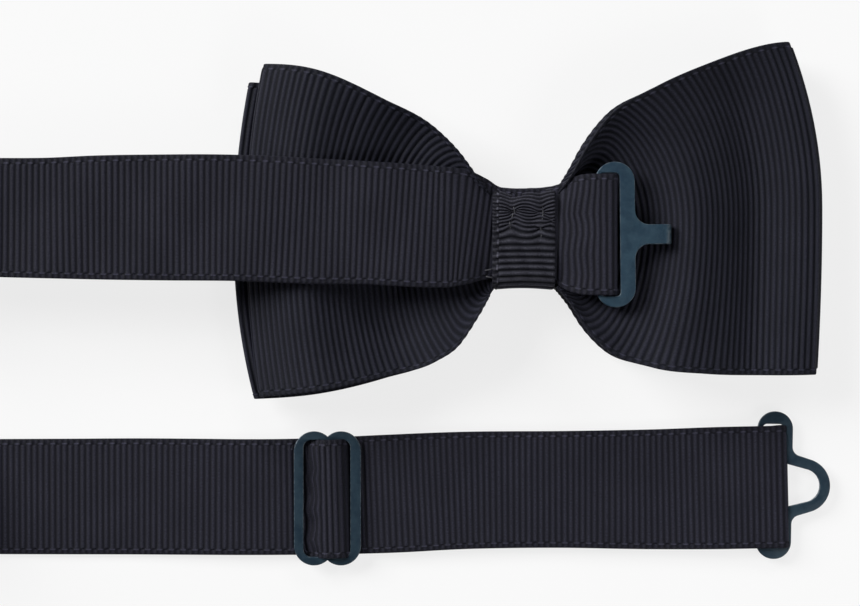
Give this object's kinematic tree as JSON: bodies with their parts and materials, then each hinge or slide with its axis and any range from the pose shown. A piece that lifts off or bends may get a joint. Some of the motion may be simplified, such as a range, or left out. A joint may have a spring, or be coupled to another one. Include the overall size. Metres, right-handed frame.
{
  "type": "bow tie",
  "caption": "Pre-tied double bow tie of ribbed ribbon on an adjustable neck band with a slider, a flat T-hook and an eye hook.",
  "frame": {"origin": "middle of the knot's front face, which lies on the table", "axes": "+Z is the back of the tie, +X runs along the bow towards the T-hook, +Y across the bow, away from the adjusting run of the band"},
  "size_m": [0.2206, 0.0985, 0.0222],
  "materials": {
    "grosgrain": "ribbed matte grosgrain",
    "thread": "matte sewing thread",
    "blued_steel": "blued and lacquered stamped steel, worn bright at the edges"
  },
  "bodies": {
    "root": {"rear_bow_loop": "grosgrain", "front_bow_loop": "grosgrain", "bow_binding_thread": "thread", "knot_wrap": "grosgrain", "knot_stitches": "thread", "neck_band_upper": "grosgrain", "neck_band_upper_twist": "grosgrain", "neck_band_turn": "grosgrain", "neck_band_lower_twist": "grosgrain", "neck_band_lower": "grosgrain", "band_hook_fold": "grosgrain", "hook_end_tack": "thread"},
    "t_hook": {"t_hook": "blued_steel"},
    "slider": {"slider": "blued_steel", "band_return": "grosgrain", "end_seam": "thread", "band_weave": "grosgrain"},
    "hook_end": {"band_eye_fold": "grosgrain"},
    "eye_hook": {"eye_hook": "blued_steel"}
  },
  "joints": [
    {"name": "t_hook_flip", "type": "hinge", "parent": "root", "child": "t_hook", "pos_m": [0.01345, 0.0005, 0.01205], "axis": [0.0157, -0.9999, 0], "range_deg": [0, 130]},
    {"name": "slider_slide", "type": "slide", "parent": "root", "child": "slider", "axis": [0.9999, 0.0157, 0], "range_m": [-0.034, 0.06]},
    {"name": "hook_end_slide", "type": "slide", "parent": "root", "child": "hook_end", "axis": [0.9997, 0.0227, 0], "range_m": [-0.017, 0.03]},
    {"name": "eye_hook_flip", "type": "hinge", "parent": "hook_end", "child": "eye_hook", "pos_m": [0.04473, -0.04676, 0.00115], "axis": [0.0227, -0.9997, 0], "range_deg": [0, 130]}
  ],
  "couplings": [
    {"joint": "hook_end_slide", "follows": "slider_slide", "ratio": 0.5}
  ]
}
